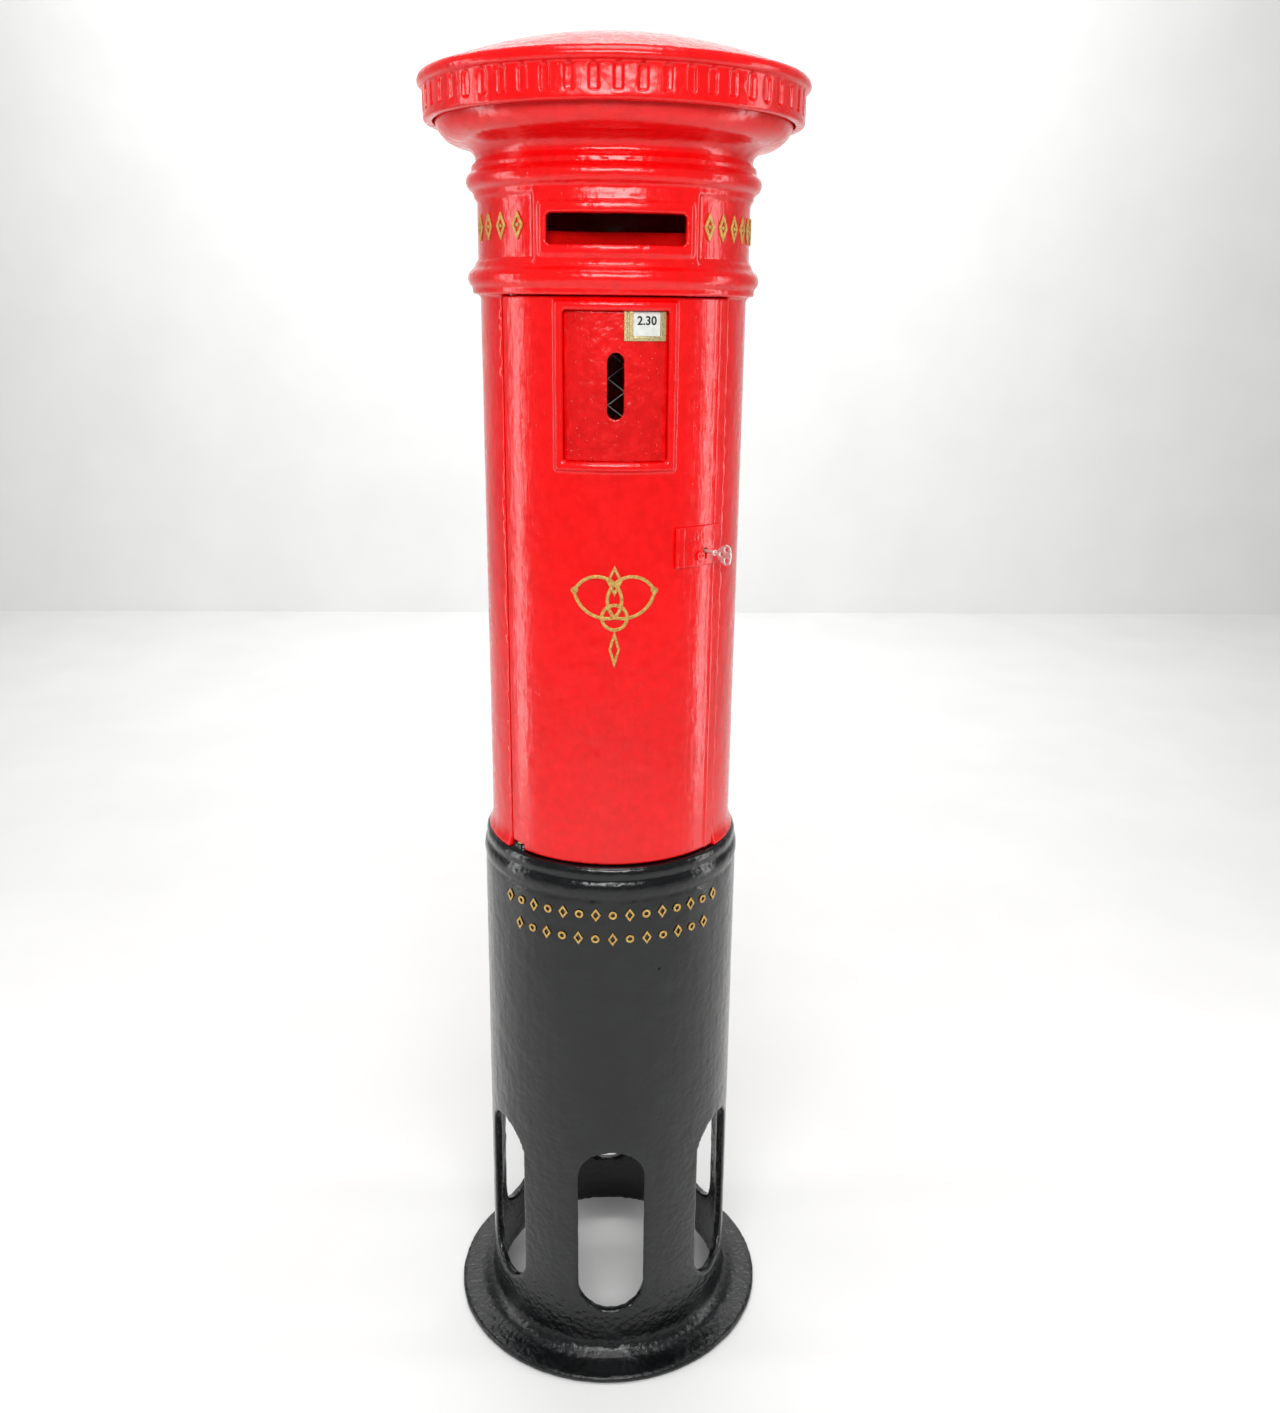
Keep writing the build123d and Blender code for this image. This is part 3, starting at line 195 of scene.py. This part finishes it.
def bitumen_enamel(name, light, dark):
    material, tree, place = new_material(name)
    height = add(tree, "SeparateXYZ", links={"Vector": place}).outputs["Z"]
    low_down = add(tree, "MapRange",
                   {"From Min": ROUGH_BELOW, "From Max": 0.0, "To Min": 0.35, "To Max": 1.0},
                   {"Value": height})
    grain = add(tree, "TexNoise", {"Scale": size_scale(5), "Detail": 5.0, "Roughness": 0.6},
                {"Vector": place})
    swell = add(tree, "TexNoise", {"Scale": size_scale(32), "Detail": 2.0}, {"Vector": place})
    cell = add(tree, "TexVoronoi", {"Scale": size_scale(9), "feature": "SMOOTH_F1"}, {"Vector": place})
    colour = add(tree, "ValToRGB", links={"Fac": swell.outputs["Fac"]}, stops=[(0.35, dark), (0.7, light)])
    sheen = add(tree, "ValToRGB", links={"Fac": grain.outputs["Fac"]},
                stops=[(0.35, grey(0.13)), (0.7, grey(0.27))])
    bump_swell = add(tree, "Bump", {"Strength": 0.5, "Distance": 2.0 * MM}, {"Height": swell.outputs["Fac"]})
    bump_cells = add(tree, "Bump", {"Distance": 1.2 * MM},
                     {"Height": cell.outputs["Distance"], "Strength": low_down.outputs["Result"],
                      "Normal": bump_swell.outputs["Normal"]})
    bump_grain = add(tree, "Bump", {"Distance": 0.9 * MM},
                     {"Height": grain.outputs["Fac"], "Strength": low_down.outputs["Result"],
                      "Normal": bump_cells.outputs["Normal"]})
    shader = add(tree, "BsdfPrincipled", {"IOR": PAINT_IOR, "Metallic": 0.0},
                 {"Base Color": colour.outputs["Color"], "Roughness": sheen.outputs["Color"],
                  "Normal": bump_grain.outputs["Normal"]})
    finish_material(tree, shader)
    return material


black_bitumen = bitumen_enamel("black_bitumen_enamel", srgb("0E1113"), srgb("060708"))
print("plinth finish:", black_bitumen.name)

# %% [markdown]
# ## Small metals and marks
# The remaining finishes are gold size with bronze powder on the raised ornament, lacquered sheet
# brass round the day tablet, fired white enamel, nickel-plated steel, hot-dip galvanised wire and
# the bare or blacked iron inside. They share one recipe: a base colour broken up by noise, a
# roughness range and a fine bump at the scale of the process that made the surface.

# %% Metals
def worked_surface(name, light, dark, metallic, rough_low, rough_high, grain_mm, bump, stretch=(1, 1, 1)):
    material, tree, place = new_material(name)
    mapped = add(tree, "Mapping", {"Scale": stretch}, {"Vector": place})
    grain = add(tree, "TexNoise", {"Scale": size_scale(grain_mm), "Detail": 4.0},
                {"Vector": mapped.outputs["Vector"]})
    colour = add(tree, "ValToRGB", links={"Fac": grain.outputs["Fac"]}, stops=[(0.34, dark), (0.66, light)])
    sheen = add(tree, "ValToRGB", links={"Fac": grain.outputs["Fac"]},
                stops=[(0.3, grey(rough_low)), (0.7, grey(rough_high))])
    relief = add(tree, "Bump", {"Strength": bump, "Distance": 0.4 * MM}, {"Height": grain.outputs["Fac"]})
    shader = add(tree, "BsdfPrincipled", {"Metallic": metallic},
                 {"Base Color": colour.outputs["Color"], "Roughness": sheen.outputs["Color"],
                  "Normal": relief.outputs["Normal"]})
    finish_material(tree, shader)
    return material


# bronze powder in gold size: soft warm gold, more paint than metal
gilt = worked_surface("bronze_powder_gilding", srgb("D8B566"), srgb("A87C34"), 0.25, 0.35, 0.55, 3.0, 0.5)
# lacquered rolled brass: pale yellow with drawn lines along its length
brass = worked_surface("lacquered_brass", srgb("EADBA6"), srgb("D2BC80"), 0.75, 0.24, 0.36, 0.8, 0.08,
                       (1, 1, 0.3))
# vitreous enamel on steel: white glass, slightly wavy
white_enamel = worked_surface("vitreous_white_enamel", srgb("DDE1DC"), srgb("CDD3CD"), 0.0, 0.10, 0.18,
                              6.0, 0.2)
# nickel plate on cast steel: warm grey mirror gone dull in the hollows
nickel = worked_surface("nickel_plated_steel", srgb("EDEAE6"), srgb("BDB9B4"), 0.7, 0.25, 0.4, 2.2, 0.4)
# ground bar steel
bright_steel = worked_surface("ground_steel", srgb("A9ABAD"), srgb("7C7E80"), 1.0, 0.25, 0.4, 1.2, 0.3,
                              (1, 1, 0.1))
# hot-dip zinc: grey spangle about 4 mm across
zinc = worked_surface("hot_dip_zinc", srgb("F2F3F3"), srgb("CFD3D4"), 0.1, 0.3, 0.5, 4.0, 0.4)
# blacked wrought iron
black_iron = worked_surface("blacked_wrought_iron", srgb("2E2C2A"), srgb("191817"), 0.4, 0.45, 0.7, 3.5, 0.8)
# dark red oxide primer on plate
plate_iron = worked_surface("primed_iron_plate", srgb("3A2A27"), srgb("241B1A"), 0.1, 0.5, 0.7, 5.0, 0.6)
# stoved black figure on the tablet
figure_black = worked_surface("stoved_black_figure", srgb("15181C"), srgb("0C0E10"), 0.0, 0.2, 0.3, 2.0, 0.1)
FINISH_OF_SLOT = {
    "red_enamel_casting": body_enamel, "red_enamel_door": door_enamel, "red_enamel_plate": plate_enamel,
    "red_sheet": sheet_enamel, "black_bitumen_casting": black_bitumen, "gilt_paint": gilt, "brass": brass,
    "white_enamel": white_enamel, "nickel_steel": nickel, "bright_steel": bright_steel,
    "galvanised_wire": zinc, "black_iron": black_iron, "dark_iron_plate": plate_iron}
print(len(FINISH_OF_SLOT), "finishes for the record's slots")

# %% [markdown]
# ## Give every frame piece its finish
# The record says which material slot each node takes. Assigning by slot means no piece is left grey,
# and a changed record needs no change here.

# %% Dress the frame
slot_of_node = {entry["node"]: entry["material_slot"] for entry in frame["record"]["subparts"]}
body_of_node = {node: body for body, members in behaviour["bodies"].items() for node in members}


def dress(piece, material):
    piece.data.materials.clear()
    piece.data.materials.append(material)


SHARP_EDGE = radians(35)
for name, piece in nodes.items():
    dress(piece, FINISH_OF_SLOT[slot_of_node[name]])
    for face in piece.data.polygons:
        face.use_smooth = True
    piece.data.set_sharp_from_angle(angle=SHARP_EDGE)
print("dressed", len(nodes), "frame pieces")

# %% [markdown]
# ## From sharp solid to painted casting
# A real casting has no sharp corner: sand, fettling and thick paint round everything off. The CAD
# solid is crisp. One way to soften it is bevels, but booleans leave edges that bevel badly. Voxel
# remeshing rebuilds the skin from a distance field instead, and its corners come out rounded by
# about one voxel, which is what a few coats of paint do. A light smooth takes out the voxel steps,
# noise moves the skin by fractions of a millimetre, and decimation keeps the piece to a sane size.

# %% Casting helper
MOST_FACES = 190000
WELD_DISTANCE = 0.01 * MM


def apply_modifiers(piece):
    """Bake the piece's modifiers into its mesh and drop them."""
    depsgraph = bpy.context.evaluated_depsgraph_get()
    mesh = bpy.data.meshes.new_from_object(piece.evaluated_get(depsgraph), depsgraph=depsgraph)
    piece.modifiers.clear()
    piece.data = mesh


def painted_copy(node, name, voxel_mm, ripple_mm, ripple_size_mm, smooth=2):
    mesh = nodes[node].data.copy()
    piece = bpy.data.objects.new(name, mesh)
    bpy.context.scene.collection.objects.link(piece)
    welded = bmesh.new()
    welded.from_mesh(mesh)
    bmesh.ops.remove_doubles(welded, verts=welded.verts, dist=WELD_DISTANCE)
    welded.to_mesh(mesh)
    welded.free()
    coarse = 1.0
    skin = piece.modifiers.new("skin", "REMESH")
    skin.mode = "VOXEL"
    skin.voxel_size = voxel_mm * MM * coarse
    skin.use_smooth_shade = True
    if smooth:
        soften = piece.modifiers.new("soften", "SMOOTH")
        soften.factor = 0.5
        soften.iterations = smooth
    apply_modifiers(piece)
    ripple(piece.data, ripple_mm * MM, ripple_size_mm * MM)
    triangles = sum(len(face.vertices) - 2 for face in piece.data.polygons)
    if triangles > MOST_FACES:
        thin = piece.modifiers.new("thin", "DECIMATE")
        thin.ratio = MOST_FACES / triangles
        apply_modifiers(piece)
    for face in piece.data.polygons:
        face.use_smooth = True
    dress(piece, FINISH_OF_SLOT[slot_of_node[node]])
    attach(piece, body_of_node[node])
    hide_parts(node)
    print(f"{name}: {len(piece.data.polygons)} faces from {triangles} triangles")


def ripple(mesh, depth, size):
    """Push each point in or out along its normal by a broad wave and a finer, weaker one."""
    finer, weaker = 2.7, 0.5
    # the normals are read first, because moving a point makes the mesh work them all out again
    normals = [vertex.normal.copy() for vertex in mesh.vertices]
    for vertex, normal in zip(mesh.vertices, normals):
        place = vertex.co / size
        vertex.co += normal * depth * (noise.noise(place) + weaker * noise.noise(place * finer))
    mesh.update()


# %% [markdown]
# ## The castings
# The cap needs a fine voxel because its flutes are only 12 mm wide, the plain plinth can be coarser.
# The ripple is the height of the waves left by the moulding sand: half a millimetre on the plinth,
# less on the door, which was filed to fit.

# %% Castings
painted_copy("cap_casting", "painted_cap", 1.7, 0.28, 34, smooth=0)
painted_copy("body_casting", "painted_body", 2.8, 0.32, 40, smooth=1)
painted_copy("door_casting", "painted_door", 2.2, 0.24, 55, smooth=1)
painted_copy("base_casting", "painted_plinth", 3.4, 0.45, 26)
painted_copy("notice_plate", "painted_notice_plate", 1.2, 0.45, 9)
painted_copy("lock_pad", "painted_lock_pad", 0.9, 0.15, 8)

# %% [markdown]
# ## The raised ornament
# The gilt marks are cast on, then picked out with gold size. Each is a low relief with soft shoulders,
# so a fine voxel skin is enough to make the light roll over them.

# %% Gilt ornament
for node in ("door_emblem", "left_frieze_ornament", "right_frieze_ornament", "plinth_upper_ornament",
             "plinth_lower_ornament"):
    painted_copy(node, "gilt_" + node, 0.6, 0.12, 5, smooth=3)

# %% [markdown]
# ## Small fittings
# The brass tablet holder and the key are handled or filed, so their edges are soft but tight. The
# same skin works with a half-millimetre voxel and almost no ripple.

# %% Holder, key, screw and chute
painted_copy("tablet_holder", "worn_tablet_holder", 0.5, 0.03, 8, smooth=2)
painted_copy("key", "worn_key", 0.45, 0.05, 4, smooth=2)
painted_copy("security_screw", "painted_security_screw", 0.45, 0.05, 4, smooth=2)
painted_copy("letter_chute", "painted_letter_chute", 1.2, 0.3, 60, smooth=1)

# %% [markdown]
# ## The wire guard
# Behind the slot hangs a guard of galvanised wire. Each wire is bent in a zigzag and hooked through
# its neighbour, like a chain-link fence. The frame holds a flat stand-in, so here every wire is
# drawn as a polyline whose corners step in front of and behind the next wire, then given a round
# section by a curve bevel.

# %% Woven wire
WIRE_RADIUS = 1.25 * MM
WIRE_PITCH = 23 * MM
WIRE_STEP = 18 * MM
MIDDLE_RAIL_HALF = 4 * MM


def zigzag_wires():
    low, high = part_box("guard_mesh")
    middle = (low.z + high.z) / 2
    columns = int((high.x - low.x) / WIRE_PITCH)
    pitch = (high.x - low.x) / columns
    depth = (low.y + high.y) / 2
    curve = bpy.data.curves.new("wires", "CURVE")
    curve.dimensions = "3D"
    curve.bevel_depth = WIRE_RADIUS
    curve.bevel_resolution = 2
    for bottom, top in ((low.z, middle - MIDDLE_RAIL_HALF), (middle + MIDDLE_RAIL_HALF, high.z)):
        steps = int((top - bottom) / WIRE_STEP)
        for column in range(columns):
            wire = curve.splines.new("POLY")
            wire.points.add(steps)
            for index, point in enumerate(wire.points):
                side = (index + column) % 2
                inset = WIRE_RADIUS if side else -WIRE_RADIUS
                x = low.x + (column + side) * pitch
                x = min(max(x, low.x + 1.5 * WIRE_RADIUS), high.x - 1.5 * WIRE_RADIUS)
                height = bottom + (top - bottom) * index / steps
                point.co = (x, depth + 0.8 * inset, height, 1)
    drawn = bpy.data.objects.new("wire_curve", curve)
    bpy.context.scene.collection.objects.link(drawn)
    depsgraph = bpy.context.evaluated_depsgraph_get()
    mesh = bpy.data.meshes.new_from_object(drawn.evaluated_get(depsgraph), depsgraph=depsgraph)
    bpy.data.objects.remove(drawn)
    wires = bpy.data.objects.new("zigzag_wires", mesh)
    bpy.context.scene.collection.objects.link(wires)
    for face in mesh.polygons:
        face.use_smooth = True
    dress(wires, zinc)
    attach(wires, "guard")
    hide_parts("guard_mesh")
    print("wires:", columns, "columns,", len(mesh.polygons), "faces")


zigzag_wires()

# %% [markdown]
# ## Figures on the tablet
# The enamel tablet carries the time of the next collection. The figures are made as text, turned
# into a mesh and wrapped round the barrel, so they stay flush with the curved tablet.

# %% Tablet figures
FIGURE_HEIGHT = 15.5 * MM
FIGURE_LIFT = 0.08 * MM
FIGURE_SWELL = 0.35 * MM
TOP_MARGIN = 4 * MM


def tablet_figures(words):
    low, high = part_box("day_tablet")
    centre = (low + high) / 2
    azimuth = degrees(atan2(centre.x, -centre.y))
    radius = max(Vector((v.co.x, v.co.y)).length for v in nodes["day_tablet"].data.vertices)
    text = bpy.data.curves.new("figures", "FONT")
    text.body = words
    text.size = FIGURE_HEIGHT
    text.align_x = "CENTER"
    text.align_y = "TOP"
    text.extrude = FIGURE_LIFT
    text.offset = FIGURE_SWELL
    text.resolution_u = 4
    drawn = bpy.data.objects.new("figure_text", text)
    bpy.context.scene.collection.objects.link(drawn)
    depsgraph = bpy.context.evaluated_depsgraph_get()
    mesh = bpy.data.meshes.new_from_object(drawn.evaluated_get(depsgraph), depsgraph=depsgraph)
    bpy.data.objects.remove(drawn)
    top = high.z - TOP_MARGIN
    for vertex in mesh.vertices:
        x, y, z = vertex.co
        vertex.co = polar(radius + z, azimuth + degrees(x / radius), top + y)
    figures = bpy.data.objects.new("tablet_figures", mesh)
    bpy.context.scene.collection.objects.link(figures)
    dress(figures, figure_black)
    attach(figures, "tablet")
    print("figures:", words, "at azimuth", round(azimuth, 1))


tablet_figures("2.30")

# %% [markdown]
# ## Camera
# The camera stands close, at about head height, and looks down a little. That makes the foot look
# narrow and the cap wide.

# %% Camera
CAMERA_DISTANCE = 1.9187
CAMERA_HEIGHT = 1.7069
CAMERA_AZIMUTH = -1.0
CAMERA_PAN = 1.354
CAMERA_PITCH = 17.73
CAMERA_ROLL = 0.706
LENS_MM = 32.2217


def place_camera():
    data = bpy.data.cameras.new("view_camera")
    camera = bpy.data.objects.new("view_camera", data)
    bpy.context.scene.collection.objects.link(camera)
    data.lens = LENS_MM
    heading = radians(-CAMERA_AZIMUTH + CAMERA_PAN)
    pitch = radians(CAMERA_PITCH)
    roll = radians(CAMERA_ROLL)
    forward = Vector((sin(heading) * cos(pitch), cos(heading) * cos(pitch), -sin(pitch)))
    right = forward.cross(Vector((0, 0, 1))).normalized()
    up = right.cross(forward)
    right, up = right * cos(roll) + up * sin(roll), up * cos(roll) - right * sin(roll)
    turn = Matrix((right, up, -forward)).transposed().to_4x4()
    camera.matrix_world = Matrix.Translation(polar(CAMERA_DISTANCE, CAMERA_AZIMUTH, CAMERA_HEIGHT)) @ turn
    bpy.context.scene.camera = camera
    return camera


camera = place_camera()
print("camera at", [round(c, 3) for c in camera.location], "lens", round(camera.data.lens, 1), "mm")

# %% [markdown]
# ## Light
# Gloss paint shows its lights as shapes, so their sizes matter more than their powers. A wide soft
# key in front and above gives the long highlight down the barrel. Two tall strips draw the bright
# lines along the sides, a fill above lights the dome, and a wash keeps the wall behind pale. Each
# line below gives a place, a target, a width and height in metres, and a power in watts.

# %% Lights
def soft_light(name, place, target, width, height, power):
    data = bpy.data.lights.new(name, "AREA")
    data.shape = "RECTANGLE"
    data.size = width
    data.size_y = height
    data.energy = power
    lamp = bpy.data.objects.new(name, data)
    bpy.context.scene.collection.objects.link(lamp)
    lamp.location = place
    lamp.rotation_euler = (Vector(target) - Vector(place)).to_track_quat("-Z", "Y").to_euler()


middle = (0, 0, 1.1)
soft_light("front_key", (-0.1, -3.2, 3.0), (0, 0, 1.35), 2.5, 1.1, 105)
soft_light("left_strip", (-2.6, 0.0, 1.3), middle, 0.4, 2.6, 20)
soft_light("right_strip", (2.6, -0.1, 1.3), middle, 0.4, 2.6, 20)
soft_light("top_fill", (0, -0.9, 4.4), (0, 0, 0), 1.6, 1.6, 42)
soft_light("backdrop_wash", (0, 3.0, 4.6), (0, 5.2, 0.8), 4.0, 0.8, 150)
WORLD_STRENGTH = 0.27
world = bpy.data.worlds.new("studio")
world.use_nodes = True
bpy.context.scene.world = world
sky = world.node_tree.nodes["Background"]
sky.inputs["Color"].default_value = srgb("F4F5F6")
sky.inputs["Strength"].default_value = WORLD_STRENGTH
bpy.context.scene.view_settings.view_transform = "Standard"

# %% [markdown]
# ## Floor and wall
# The floor and the wall are sheets of matt paper. The floor sends light back up under the cap, and
# the wall is what the gloss paint mirrors at its edges. They belong to the stage, not to the box.

# %% Floor and wall
def pale_sheet(name, corners):
    mesh = bpy.data.meshes.new(name)
    mesh.from_pydata(corners, [], [(0, 1, 2, 3)])
    sheet = bpy.data.objects.new(name, mesh)
    bpy.context.scene.collection.objects.link(sheet)
    dress(sheet, matt_paper)


def matt_paper_material():
    material, tree, place = new_material("matt_backdrop_paper")
    speck = add(tree, "TexNoise", {"Scale": size_scale(400), "Detail": 2.0}, {"Vector": place})
    colour = add(tree, "ValToRGB", links={"Fac": speck.outputs["Fac"]},
                 stops=[(0.3, srgb("F0F0EF")), (0.7, srgb("F4F4F3"))])
    shader = add(tree, "BsdfPrincipled", {"Roughness": 0.8}, {"Base Color": colour.outputs["Color"]})
    finish_material(tree, shader)
    return material


matt_paper = matt_paper_material()
REACH = 9.0
WALL_PLACE = 5.2
WALL_TOP = 6.0
UNDER_FOOT = -0.5 * MM
near_left, near_right = (-REACH, -REACH, UNDER_FOOT), (REACH, -REACH, UNDER_FOOT)
far_left, far_right = (-REACH, WALL_PLACE, UNDER_FOOT), (REACH, WALL_PLACE, UNDER_FOOT)
pale_sheet("floor", [near_left, near_right, far_right, far_left])
pale_sheet("wall", [far_left, far_right, (REACH, WALL_PLACE, WALL_TOP), (-REACH, WALL_PLACE, WALL_TOP)])
print("backdrop paper in place")
